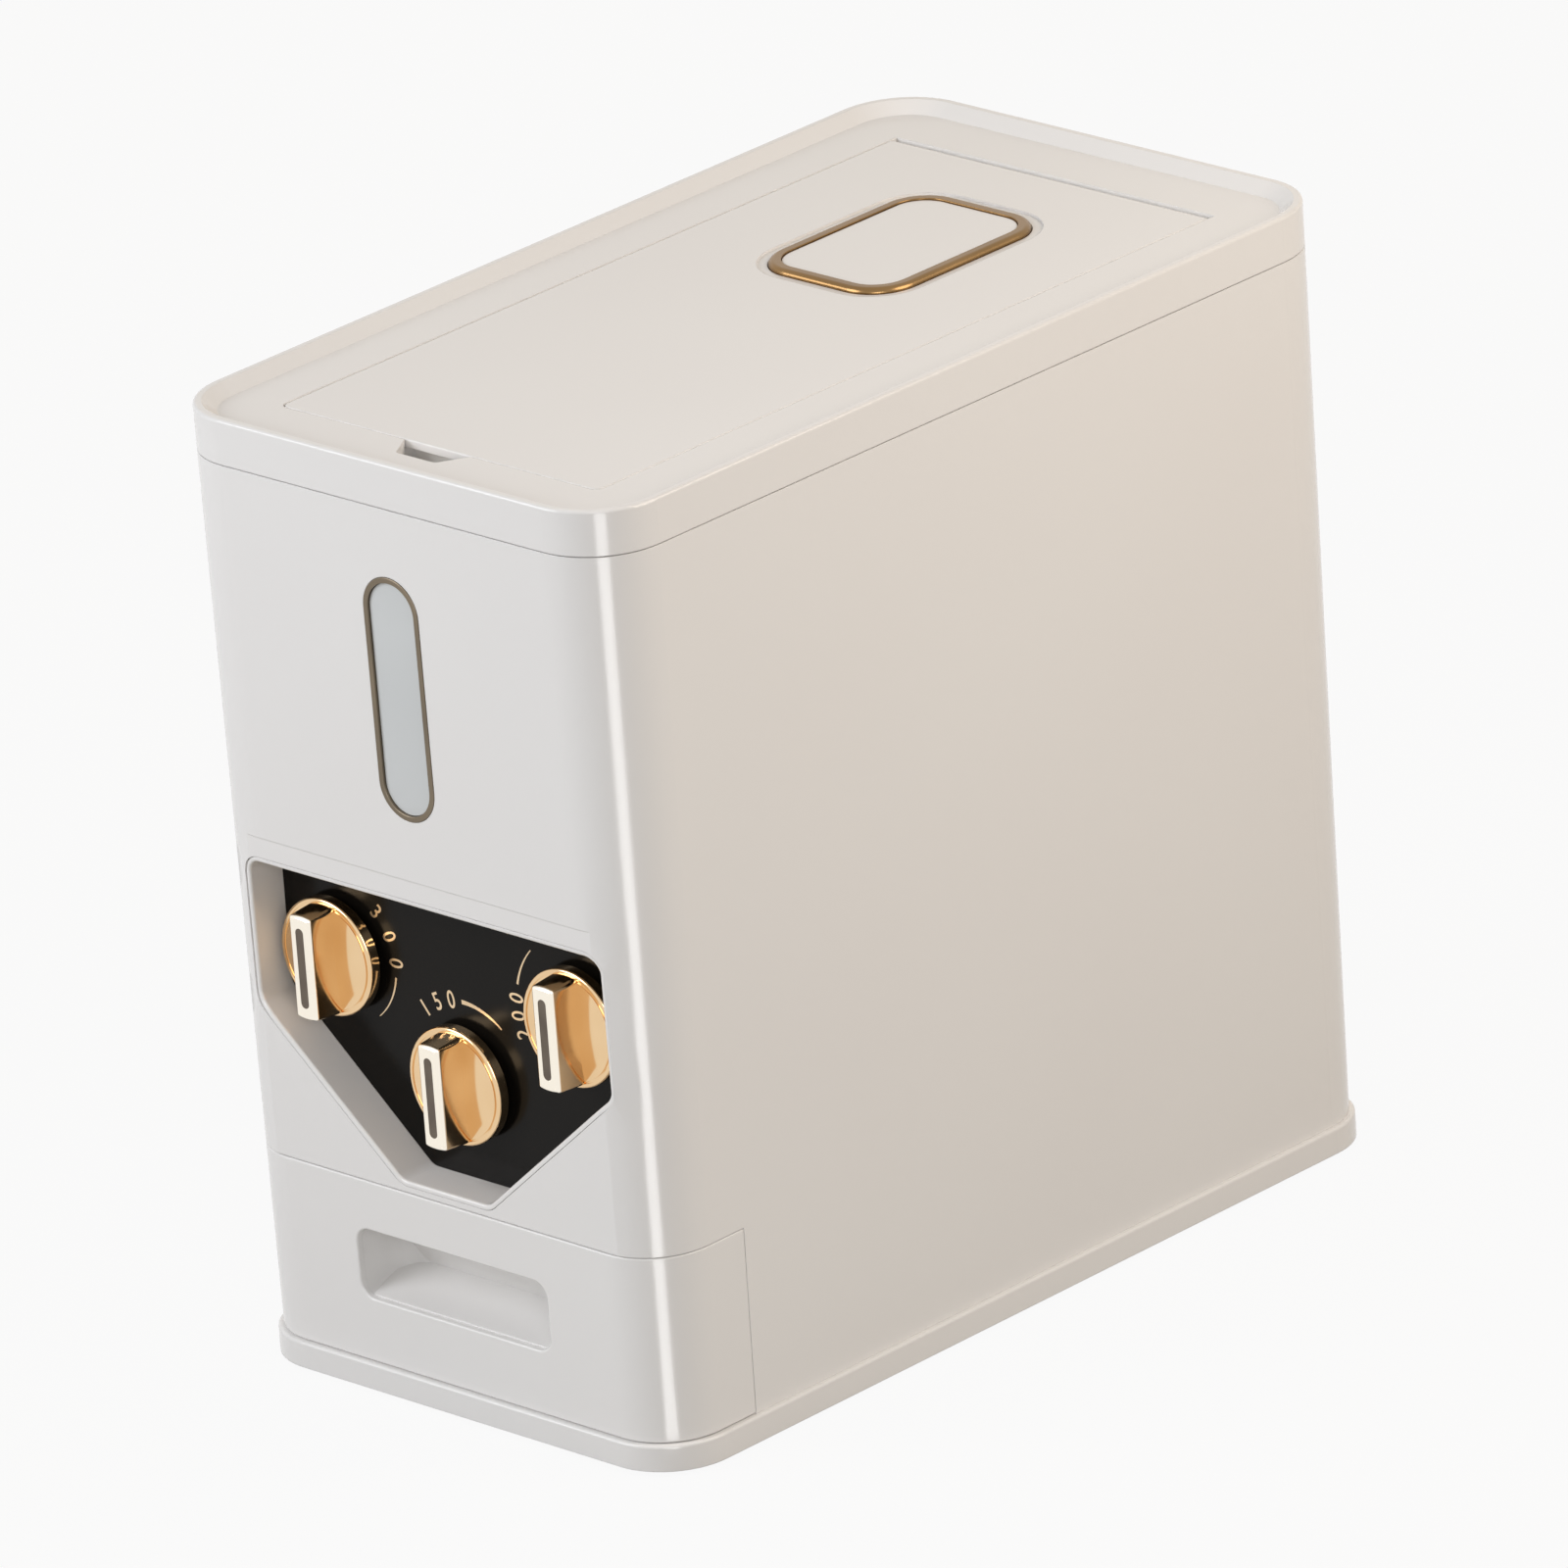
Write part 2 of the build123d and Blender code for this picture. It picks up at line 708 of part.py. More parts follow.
with BuildPart() as bearing_plate:
    with BuildSketch(at_depth(bearing_back)):
        block_section()
        with Locations((0, (knob_low + throat_z) / 2)):
            Rectangle(2 * knob_spread, throat_z - knob_low)
        with Locations(*boss_places):
            Circle(boss_radius)
    extrude(amount=bearing_plate_thickness)
    with BuildSketch(at_depth(bearing_back)):
        with Locations(*drum_axes):
            Circle(stub_radius + running_fit)
        with Locations(*boss_places):
            Circle(screw_radius + screw_clear)
    extrude(amount=bearing_plate_thickness, mode=Mode.SUBTRACT)
finish("bearing_plate", bearing_plate)

with BuildPart() as bearing_screws:
    with BuildSketch(at_depth(bearing_back + screw_head)):
        with Locations(*boss_places):
            Circle(screw_head_radius)
    extrude(amount=screw_head)
    chamfer(bearing_screws.edges().group_by(Axis.Y)[-1], length=screw_head / 3)
    with BuildSketch(at_depth(bearing_back)):
        with Locations(*boss_places):
            Circle(screw_radius)
    extrude(amount=bearing_plate_thickness + screw_length - cut_extra)
finish("bearing_screws", bearing_screws)

with BuildPart() as shaft_bushes:
    with BuildSketch(at_depth(block_plate_back)):
        with Locations(*drum_axes):
            Circle(bush_radius)
    extrude(amount=block_plate + panel_thickness)
    with BuildSketch(at_depth(panel_front)):
        with Locations(*drum_axes):
            Circle(bush_flange_radius)
    extrude(amount=bush_flange)
    with BuildSketch(at_depth(block_plate_back)):
        with Locations(*drum_axes):
            Circle(spindle_radius + running_fit)
    extrude(amount=rim_depth, both=True, mode=Mode.SUBTRACT)
finish("shaft_bushes", shaft_bushes)


# ---------------------------------------------------------------- hopper floor
throat_top = throat_z + floor_thickness
strip_front = front_at(throat_z)
strip_rear = slot_rear + 3 * side_rise


def floor_strip(top_points):
    """One strip of the floor along Y, from its top line's (x, rise) points, of even thickness."""
    top = [(x, throat_top + rise) for x, rise in top_points]
    under = [(x, z - floor_thickness) for x, z in reversed(top)]
    with BuildSketch(at_depth(strip_rear)) as strip:
        with BuildLine():
            Polyline(*top, *under, close=True)
        make_face()
    extrude(strip.sketch, amount=strip_rear - strip_front)


def floor_ramp(y_low, y_high, angle):
    """A full-width ramp that climbs from the throats at y_low to y_high."""
    rise = abs(y_high - y_low) * tan(radians(angle))
    with BuildSketch(Plane.YZ) as ramp:
        with BuildLine():
            Polyline(
                (y_low, throat_top), (y_high, throat_top + rise),
                (y_high, throat_z + rise), (y_low, throat_z),
                close=True,
            )
        make_face()
    extrude(ramp.sketch, amount=rim_width / 2, both=True)
    with BuildSketch(Plane.YZ) as below:
        with BuildLine():
            Polyline(
                (y_low, throat_z), (y_high, throat_z + rise),
                (y_high, throat_z - cut_extra), (y_low, throat_z - cut_extra),
                close=True,
            )
        make_face()
    extrude(below.sketch, amount=rim_width / 2, both=True, mode=Mode.SUBTRACT)


with BuildPart() as hopper_floor:
    edges = [(x - slot_half_width(grams), x + slot_half_width(grams)) for side, x, z, grams in drums]
    floor_strip([(-hopper_outside, side_rise), (left_slot_edge, 0)])
    floor_strip([(right_slot_edge, 0), (hopper_outside, side_rise)])
    for (_, low), (high, _) in zip(edges, edges[1:]):
        ridge = (high - low) / 2
        floor_strip([(low, 0), (low + ridge, ridge * tan(radians(flow_angle))), (high, 0)])
    floor_ramp(slot_front, front_at(throat_z), front_flow_angle)
    floor_ramp(slot_rear, rear_inner + wall, rear_flow_angle)
    skin_block(throat_z - cut_extra, rim_seam, wall + fit, Mode.INTERSECT)
finish("hopper_floor", hopper_floor)


# ---------------------------------------------------------------- chute
with BuildPart() as drop_chute:
    upright_block(
        (-chute_half_width, chute_half_width), (block_plate_back, block_rear),
        (chute_bottom, chute_top),
    )
    inner_half = chute_half_width - chute_wall
    upright_block(
        (-inner_half, inner_half),
        (block_plate_back + chute_wall, block_rear - chute_wall),
        (chute_bottom - cut_extra, chute_top + cut_extra),
        Mode.SUBTRACT,
    )
    # the end walls are cut to the shape of the block's rings and bosses
    for side, x, z, grams in drums:
        rod(x, z, block_plate_back, block_rear, bore_radius(grams) + block_wall + fit, Mode.SUBTRACT)
        middle_z = (z + throat_z) / 2
        half = slot_half_width(grams) + block_wall + fit
        upright_block(
            (x - half, x + half), (block_plate_back, block_rear), (z, throat_z), Mode.SUBTRACT
        )
    for x, z in boss_places:
        rod(x, z, block_rear - boss_length - fit, block_rear, boss_radius + fit, Mode.SUBTRACT)
finish("drop_chute", drop_chute)


# ---------------------------------------------------------------- drums, knobs and their trim
def spindle_section(x, z, radius):
    """A round section with one flat, so that knob and drum turn together."""
    with Locations((x, z)):
        Circle(radius)
    with Locations((x + radius, z)):
        Rectangle(2 * spindle_flat, 2 * radius, mode=Mode.SUBTRACT)


def disc_section(x, z):
    """Half the section of a knob's disc, out from its axis: rim, fine groove and low dome."""
    disc_back = disc_front + knob_disc
    rim_x = x + knob_radius
    groove_outer = rim_x - groove_inset
    groove_inner = groove_outer - groove_width
    groove_floor = disc_front + groove_depth
    with BuildSketch(Plane.XY.offset(z)) as section:
        with BuildLine():
            Polyline(
                (x, disc_front - dome_rise), (x, disc_back), (rim_x, disc_back),
                (rim_x, disc_front + knob_edge),
            )
            CenterArc(
                (rim_x - knob_edge, disc_front + knob_edge), knob_edge, start_angle=0,
                arc_size=-QUARTER_TURN,
            )
            Polyline(
                (rim_x - knob_edge, disc_front), (groove_outer, disc_front),
                (groove_outer, groove_floor), (groove_inner, groove_floor),
                (groove_inner, disc_front),
            )
            TangentArc((x, disc_front - dome_rise), (groove_inner, disc_front), tangent=(1, 0))
        make_face()
    return section.sketch


disc_front = panel_front - disc_standoff
knob_front = front_at(recess_middle) + step_depth - grip_proud
grip_root = disc_front + knob_edge
spindle_end = drum_front + socket_depth - drum_end - cut_extra

for side, x, z, grams in drums:
    pocket = pocket_radius(grams)
    with BuildPart() as drum:
        with BuildSketch(at_depth(drum_rear)):
            with Locations((x, z)):
                Circle(pocket + drum_wall)
        extrude(amount=drum_length)
        with BuildSketch(at_depth(drum_rear - drum_end)):
            with Locations((x, z)):
                Circle(pocket)
                Rectangle(
                    2 * slot_half_width(grams), 2 * pocket, align=(Align.CENTER, Align.MIN)
                )
        extrude(amount=pocket_length, mode=Mode.SUBTRACT)
        # hub with the socket for the spindle
        with BuildSketch(at_depth(drum_front + socket_depth)):
            with Locations((x, z)):
                Circle(hub_radius)
        extrude(amount=socket_depth)
        with BuildSketch(at_depth(drum_front + socket_depth - drum_end)):
            spindle_section(x, z, spindle_radius + screw_clear)
        extrude(amount=socket_depth, mode=Mode.SUBTRACT)
        # stub axle at the rear, with a groove for its clip
        rod(x, z, drum_rear, drum_rear + stub_length, stub_radius)
        clip_front = bearing_back + fit
        with BuildSketch(at_depth(clip_front + clip_thickness)):
            with Locations((x, z)):
                Circle(stub_radius + cut_extra)
                Circle(stub_radius - clip_groove, mode=Mode.SUBTRACT)
        extrude(amount=clip_thickness, mode=Mode.SUBTRACT)
    finish(f"drum_{side}", drum)

    with BuildPart() as clip:
        with BuildSketch(at_depth(clip_front + clip_thickness - screw_clear)):
            with Locations((x, z)):
                Circle(clip_radius)
                Circle(stub_radius - clip_groove + screw_clear, mode=Mode.SUBTRACT)
                Rectangle(
                    2 * (stub_radius - clip_groove), 2 * clip_radius,
                    align=(Align.CENTER, Align.MIN), mode=Mode.SUBTRACT,
                )
        extrude(amount=clip_thickness - 2 * screw_clear)
    finish(f"clip_{side}", clip)

    with BuildPart() as knob:
        revolve(disc_section(x, z), axis=Axis((x, 0, z), (0, 1, 0)))
        # grip: a slab across the disc with round ends that run out over the disc's rim
        with BuildSketch(at_depth(grip_root)):
            with Locations((x, z)):
                Circle(grip_reach)
                Rectangle(grip_width, 2 * grip_reach, mode=Mode.INTERSECT)
            fillet(vertices(), radius=grip_corner)
        extrude(amount=grip_root - knob_front, taper=grip_taper)
        fillet(knob.faces().sort_by(Axis.Y)[0].edges(), radius=grip_edge)
        with BuildSketch(at_depth(knob_front)):
            with Locations((x, z)):
                SlotOverall(inlay_length, inlay_width, rotation=90)
        extrude(amount=-inlay_depth, mode=Mode.SUBTRACT)
        # hub and spindle behind the disc
        rod(x, z, disc_front + knob_disc / 2, panel_front - knob_gap, knob_hub_radius)
        with BuildSketch(at_depth(spindle_end)):
            spindle_section(x, z, spindle_radius)
        extrude(amount=spindle_end - disc_front - knob_disc)
    finish(f"knob_{side}", knob)

    with BuildPart() as inlay:
        with BuildSketch(at_depth(knob_front + inlay_depth)):
            with Locations((x, z)):
                SlotOverall(
                    inlay_length - 2 * screw_clear, inlay_width - 2 * screw_clear, rotation=90
                )
        extrude(amount=inlay_depth - 2 * screw_clear)
    finish(f"inlay_{side}", inlay)


# ---------------------------------------------------------------- drawer
drawer_low = base_height + fit
handle_middle = (handle_bottom + handle_top) / 2
pocket_back = front_at(handle_middle) + handle_depth
tray_front = pocket_back + pocket_wall + tray_gap
tray_rear = tray_front + tray_length
runner_rear = tray_rear + runner_past


def handle_outline(y, grow):
    """The finger opening's outline, y deep and grown all round."""
    with BuildSketch(at_depth(y)) as outline:
        with Locations((0, handle_middle)):
            RectangleRounded(
                2 * (handle_half_width + grow), handle_top - handle_bottom + 2 * grow,
                handle_corner + grow,
            )
    return outline.sketch


def scoop_profile(grow):
    """The pocket's side profile: a floor that climbs gently and a back wall that leans out above."""
    low = handle_bottom - grow
    high = handle_top + grow
    back = pocket_back + grow
    climb = handle_depth * tan(radians(pocket_climb))
    with BuildSketch(Plane.YZ) as profile:
        with BuildLine():
            Polyline(
                (front_at(0) - cut_extra, low), (back - handle_depth, low), (back, low + climb),
                (back - pocket_overhang, high), (front_at(0) - cut_extra, high),
                close=True,
            )
        make_face()
    return profile.sketch


def pocket_plan(grow):
    """The pocket's plan, with round upright corners at its back."""
    with BuildSketch() as plan:
        with Locations((0, pocket_back + grow)):
            Rectangle(
                2 * (handle_half_width + grow), 2 * handle_depth, align=(Align.CENTER, Align.MAX)
            )
        fillet(plan.vertices().group_by(Axis.Y)[-1], radius=pocket_corner + grow)
    return plan.sketch


def pocket_body(grow):
    """The pocket's whole form, grown all round: its opening, side profile and plan together."""
    extrude(handle_outline(pocket_back + grow, grow), amount=handle_depth + base_lip)
    extrude(scoop_profile(grow), amount=rim_width, both=True, mode=Mode.INTERSECT)
    extrude(pocket_plan(grow), amount=drawer_seam, mode=Mode.INTERSECT)


with BuildPart() as drawer_front:
    skin_block(drawer_low, drawer_front_gap)
    fillet(drawer_front.faces().sort_by(Axis.Z)[0].edges(), radius=drawer_edge)
    fillet(drawer_front.faces().sort_by(Axis.Z)[-1].edges(), radius=drawer_edge)
    skin_block(drawer_low - cut_extra, drawer_front_gap + cut_extra, wall, Mode.SUBTRACT)
    upright_block(
        (-rim_width, rim_width), (wing_end - fit, rim_depth),
        (drawer_low - cut_extra, drawer_seam + cut_extra), Mode.SUBTRACT,
    )
    extrude(handle_outline(pocket_back, 0), amount=rim_depth / 2, mode=Mode.SUBTRACT)
    opening_edges = drawer_front.edges(Select.LAST).filter_by_position(
        Axis.Y, -rim_depth, front_at(handle_bottom) + wall / 2
    )
    fillet(opening_edges, radius=handle_edge)
    # screw posts that carry the rice tray
    for x, z in drawer_posts:
        for side in (-1, 1):
            rod(side * x, z, wall_front(x + post_radius, z, wall / 2), tray_front, post_radius)
            rod(
                side * x, z, tray_front - screw_length, tray_front, screw_radius + screw_clear,
                Mode.SUBTRACT,
            )
finish("drawer_front", drawer_front)

with BuildPart() as scoop:
    pocket_body(0)

with BuildPart() as drawer_pocket:
    pocket_body(pocket_wall)
    skin_block(base_height, drawer_seam, wall, Mode.INTERSECT)
    add(scoop.part, mode=Mode.SUBTRACT)
finish("drawer_pocket", drawer_pocket)

with BuildPart() as drawer_tray:
    with BuildSketch(Plane.XY.offset(tray_bottom)):
        with Locations((0, (tray_front + tray_rear) / 2)):
            RectangleRounded(2 * tray_half_width, tray_length, tray_corner)
    extrude(amount=tray_top - tray_bottom)
    tray_openings = tray_bottom + tray_wall
    with BuildSketch(Plane.XY.offset(tray_openings)):
        with Locations((0, (tray_front + tray_rear) / 2)):
            RectangleRounded(
                2 * (tray_half_width - tray_wall), tray_length - 2 * tray_wall,
                tray_corner - tray_wall,
            )
    extrude(amount=tray_top - tray_openings, mode=Mode.SUBTRACT)
    with BuildSketch(at_depth(tray_front + tray_wall)):
        with Locations(*[(side * x, z) for x, z in drawer_posts for side in (-1, 1)]):
            Circle(screw_radius + screw_clear)
    extrude(amount=tray_wall, mode=Mode.SUBTRACT)
finish("drawer_tray", drawer_tray)

with BuildPart() as drawer_screws:
    screw_places = [(side * x, z) for x, z in drawer_posts for side in (-1, 1)]
    with BuildSketch(at_depth(tray_front + tray_wall + screw_head)):
        with Locations(*screw_places):
            Circle(screw_head_radius)
    extrude(amount=screw_head)
    chamfer(drawer_screws.edges().group_by(Axis.Y)[-1], length=screw_head / 3)
    with BuildSketch(at_depth(tray_front + tray_wall)):
        with Locations(*screw_places):
            Circle(screw_radius)
    extrude(amount=tray_wall + screw_length - cut_extra)
finish("drawer_screws", drawer_screws)

for side, name in ((-1, "left"), (1, "right")):
    with BuildPart() as runner:
        guide = tray_half_width + fit
        with BuildSketch(at_depth(runner_rear)):
            with BuildLine():
                Polyline(
                    (side * (tray_half_width - runner_width), base_height),
                    (side * (guide + runner_thickness), base_height),
                    (side * (guide + runner_thickness), tray_bottom + runner_lip),
                    (side * guide, tray_bottom + runner_lip),
                    (side * guide, tray_bottom - fit),
                    (side * (tray_half_width - runner_width), tray_bottom - fit),
                    close=True,
                )
            make_face()
        extrude(amount=runner_rear - wing_end)
    finish(f"runner_{name}", runner)


# ---------------------------------------------------------------- top rim
lid_middle = (lid_front + hinge_y + barrel_radius) / 2
opening_length = hinge_y + barrel_radius - lid_front
hinge_z = deck_z - barrel_radius
shelf_top = lid_underside - fit


def lid_outline(z, grow):
    """The lid's outline at height z, grown all round: round front corners, square at the hinge."""
    with BuildSketch(Plane.XY.offset(z)) as outline:
        with Locations((0, lid_middle)):
            Rectangle(2 * (lid_half_width + grow), opening_length + 2 * grow)
        fillet(outline.vertices().group_by(Axis.Y)[0], radius=lid_corner + grow)
    return outline.sketch


mouth_half_width = lid_half_width + lid_gap - shelf_width
mouth_front = lid_front - lid_gap + shelf_width
mouth_rear = hinge_y - barrel_radius - fit - shelf_width


def mouth_outline(z, grow):
    """The hopper's mouth inside the shelf, at height z and grown all round."""
    with BuildSketch(Plane.XY.offset(z)) as outline:
        with Locations((0, (mouth_front + mouth_rear) / 2)):
            RectangleRounded(
                2 * (mouth_half_width + grow), mouth_rear - mouth_front + 2 * grow,
                mouth_corner + grow,
            )
    return outline.sketch


def notch_outline(z, grow):
    """The finger notch's plan at height z, grown all round: it narrows towards the front."""
    back = lid_front + notch_reach
    front = lid_front - notch_depth
    corners = [
        (-notch_half_width, back), (-notch_half_width, lid_front), (-notch_front_half_width, front),
        (notch_front_half_width, front), (notch_half_width, lid_front), (notch_half_width, back),
    ]
    with BuildSketch(Plane.XY.offset(z)) as outline:
        with BuildLine():
            Polyline(*corners, close=True)
        make_face()
        fillet(outline.vertices().group_by(Axis.Y)[0], radius=notch_corner)
        if grow:
            offset(amount=grow)
    return outline.sketch


with BuildPart() as top_rim:
    skin_block(rim_seam + shadow_gap, overall_height)
    fillet(top_rim.faces().sort_by(Axis.Z)[-1].edges(), radius=rim_edge)
    # basin with sloped sides down to the deck
    with BuildSketch(Plane.XY.offset(deck_z)):
        inset = rim_lip + rim_slope
        RectangleRounded(rim_width - 2 * inset, rim_depth - 2 * inset, corner_radius - inset)
    with BuildSketch(Plane.XY.offset(overall_height + cut_extra)):
        inset = rim_lip - rim_slope * cut_extra / deck_drop
        RectangleRounded(rim_width - 2 * inset, rim_depth - 2 * inset, corner_radius - inset)
    loft(ruled=True, mode=Mode.SUBTRACT)
    # hollow under the deck
    skin_block(rim_seam, deck_z - deck_thickness, rim_wall, Mode.SUBTRACT)
    # plug that drops into the body
    skin_block(rim_seam - plug_depth, deck_z - deck_thickness, wall + fit)
    skin_block(
        rim_seam - plug_depth - cut_extra, deck_z - deck_thickness, wall + fit + plug_wall,
        Mode.SUBTRACT,
    )
    # shelf round the mouth, deeper at the rear where the hinge barrel turns in a trough
    extrude(
        lid_outline(shelf_top - shelf_thickness, lid_gap + plug_wall),
        amount=deck_z - deck_thickness - shelf_top + shelf_thickness,
    )
    trough_floor = hinge_z - barrel_radius - fit
    half = lid_half_width + lid_gap
    upright_block(
        (-half - plug_wall, half + plug_wall),
        (mouth_rear, hinge_y + barrel_radius + lid_gap + plug_wall),
        (trough_floor - shelf_thickness, deck_z - deck_thickness),
    )
    # pad under the finger notch in front of the lid
    extrude(
        notch_outline(deck_z - notch_drop - notch_wall, notch_wall),
        amount=notch_drop + notch_wall - deck_thickness,
    )
    extrude(mouth_outline(rim_seam, 0), amount=overall_height, mode=Mode.SUBTRACT)
    extrude(lid_outline(shelf_top, lid_gap), amount=overall_height, mode=Mode.SUBTRACT)
    upright_block(
        (-half, half),
        (hinge_y - barrel_radius - fit, hinge_y + barrel_radius + lid_gap),
        (trough_floor, overall_height), Mode.SUBTRACT,
    )
    # finger notch, cut back a little under the lid's front edge
    extrude(
        notch_outline(deck_z - notch_drop, 0), amount=notch_drop + deck_drop, mode=Mode.SUBTRACT
    )
    # blocks that hold the hinge pins beside the lid
    for side in (-1, 1):
        inner_x = lid_half_width + lid_gap
        low, high = sorted((side * inner_x, side * (inner_x + pin_length - pin_in_lid + lid_gap)))
        upright_block(
            (low, high), (hinge_y - hinge_block / 2, hinge_y + hinge_block / 2),
            (hinge_z - barrel_radius - cut_extra, deck_z - deck_thickness / 2),
        )
        with BuildSketch(Plane.YZ.offset(side * (lid_half_width - pin_in_lid))):
            with Locations((hinge_y, hinge_z)):
                Circle(pin_radius + screw_clear)
        extrude(amount=side * (pin_length + fit), mode=Mode.SUBTRACT)
finish("top_rim", top_rim)

with BuildPart() as hinge_pins:
    for side in (-1, 1):
        with BuildSketch(Plane.YZ.offset(side * (lid_half_width - pin_in_lid))):
            with Locations((hinge_y, hinge_z)):
                Circle(pin_radius)
        extrude(amount=side * pin_length)
finish("hinge_pins", hinge_pins)


# ---------------------------------------------------------------- lid
def cap_outline(z, grow):
    """The moisture cap's outline at height z, grown all round."""
    with BuildSketch(Plane.XY.offset(z)) as outline:
        with Locations((0, cap_y)):
            RectangleRounded(cap_width + 2 * grow, cap_length + 2 * grow, cap_corner + grow)
    return outline.sketch


with BuildPart() as lid_panel:
    extrude(lid_outline(lid_underside, 0), amount=lid_thickness)
    fillet(lid_panel.faces().sort_by(Axis.Z)[-1].edges(), radius=lid_edge)
    # the rear edge is a barrel round the hinge axis
    upright_block(
        (-rim_width, rim_width), (hinge_y, rim_depth), (lid_underside, overall_height), Mode.SUBTRACT
    )
    with BuildSketch(Plane.YZ.offset(-lid_half_width)):
        with Locations((hinge_y, hinge_z)):
            Circle(barrel_radius)
    extrude(amount=2 * lid_half_width)
    for side in (-1, 1):
        with BuildSketch(Plane.YZ.offset(side * (lid_half_width + cut_extra))):
            with Locations((hinge_y, hinge_z)):
                Circle(pin_radius + running_fit)
        extrude(amount=-side * (pin_in_lid + cut_extra + fit), mode=Mode.SUBTRACT)
    # shallow moat round the moisture cap, and the opening under it
    extrude(cap_outline(deck_z, moat_width), amount=-moat_depth, mode=Mode.SUBTRACT)
    extrude(cap_outline(deck_z, fit), amount=-lid_thickness, mode=Mode.SUBTRACT)
finish("lid_panel", lid_panel)

skirt_inset = fit + seal_width
with BuildPart() as lid_frame:
    extrude(mouth_outline(lid_underside, -skirt_inset), amount=-skirt_depth)
    extrude(
        mouth_outline(lid_underside, -skirt_inset - skirt_wall), amount=-skirt_depth,
        mode=Mode.SUBTRACT,
    )
    # cross ribs in front of the moisture cup
    ribs_from = mouth_front + skirt_inset
    ribs_to = cap_y - cap_length / 2 - 2 * cup_flange
    for place in (1, 2):
        y = ribs_from + place * (ribs_to - ribs_from) / 3
        upright_block(
            (-mouth_half_width + skirt_inset + cut_extra, mouth_half_width - skirt_inset - cut_extra),
            (y - skirt_wall / 2, y + skirt_wall / 2),
            (lid_underside - skirt_depth, lid_underside),
        )
finish("lid_frame", lid_frame)

with BuildPart() as lid_seal:
    extrude(mouth_outline(lid_underside, -fit), amount=-seal_height)
    extrude(mouth_outline(lid_underside, -skirt_inset), amount=-seal_height, mode=Mode.SUBTRACT)
finish("lid_seal", lid_seal)

with BuildPart() as moisture_cup:
    cup_inset = cup_flange
    extrude(cap_outline(lid_underside, cup_flange), amount=-cup_flange_thickness)
    extrude(cap_outline(lid_underside, -cup_inset + cup_wall), amount=-cup_depth)
    extrude(
        cap_outline(lid_underside, -cup_inset), amount=cup_wall - cup_depth, mode=Mode.SUBTRACT
    )
    with BuildSketch(Plane.XY.offset(lid_underside - cup_depth)):
        with Locations((0, cap_y)):
            with GridLocations(1, vent_pitch, 1, vent_count):
                SlotOverall(vent_length, vent_width)
    extrude(amount=cup_wall, mode=Mode.SUBTRACT)
finish("moisture_cup", moisture_cup)

ring_top = deck_z + cap_proud
cap_flange_low = lid_underside + fit
with BuildPart() as cap_panel:
    extrude(cap_outline(cap_flange_low, 0), amount=cap_flange)
    pad_height = ring_top - cap_step - cap_flange_low
    extrude(cap_outline(cap_flange_low, -cap_ring_width - screw_clear), amount=pad_height)
    fillet(cap_panel.faces().sort_by(Axis.Z)[-1].edges(), radius=cap_step)
    skirt_grow = -cup_inset - fit
    extrude(cap_outline(cap_flange_low, skirt_grow), amount=-cap_skirt)
    extrude(
        cap_outline(cap_flange_low - cap_skirt, skirt_grow - cap_skirt_wall), amount=cap_skirt,
        mode=Mode.SUBTRACT,
    )
finish("cap_panel", cap_panel)

with BuildPart() as cap_ring:
    ring_low = cap_flange_low + cap_flange
    extrude(cap_outline(ring_low, 0), amount=ring_top - ring_low)
    extrude(cap_outline(ring_low, -cap_ring_width), amount=ring_top, mode=Mode.SUBTRACT)
    fillet(cap_ring.faces().sort_by(Axis.Z)[-1].outer_wire().edges(), radius=cap_round)
    ring_face = cap_ring.faces().sort_by(Axis.Z)[-1]
    fillet(ring_face.inner_wires()[0].edges(), radius=cap_step / 2)
finish("cap_ring", cap_ring)
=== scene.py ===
# %% [markdown]
# # Dressing a rice dispenser
#
# The object is a tall white bin for dry rice. It has three measuring knobs in a black panel, a drawer
# under them and a lid with a moisture cap. Its pieces come ready made and in their places, in metres.
# This lesson gives each of them the finish of its real material, prints the dial marks on the panel,
# and lights the whole as a product photographer would.

import json
import math

import bpy
from mathutils import Matrix, Vector


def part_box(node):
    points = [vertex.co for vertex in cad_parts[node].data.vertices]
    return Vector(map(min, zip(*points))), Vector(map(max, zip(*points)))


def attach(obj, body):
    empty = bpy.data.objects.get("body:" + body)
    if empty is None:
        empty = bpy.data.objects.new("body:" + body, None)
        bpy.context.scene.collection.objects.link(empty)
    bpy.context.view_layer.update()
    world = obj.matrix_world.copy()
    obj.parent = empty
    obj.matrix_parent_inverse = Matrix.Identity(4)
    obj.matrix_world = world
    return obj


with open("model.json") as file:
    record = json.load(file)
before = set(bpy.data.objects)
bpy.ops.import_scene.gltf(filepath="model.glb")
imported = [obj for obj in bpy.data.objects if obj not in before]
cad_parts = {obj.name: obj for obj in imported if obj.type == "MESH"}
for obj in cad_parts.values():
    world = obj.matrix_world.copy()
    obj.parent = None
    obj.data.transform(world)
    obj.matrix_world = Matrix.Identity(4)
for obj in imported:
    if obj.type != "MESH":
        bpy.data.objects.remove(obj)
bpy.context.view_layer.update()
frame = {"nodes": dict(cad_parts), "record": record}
nodes = frame["nodes"]
MM = 0.001

# %% [markdown]
# ## Colours and nodes
#
# Colours are picked on screen as sRGB hex values, but the renderer adds light in linear values. One
# function turns the first into the second, so every colour below can be compared with a picture.
# A second function adds a shader node with its settings and its links. The other two put a new object
# in the scene and start an empty material.


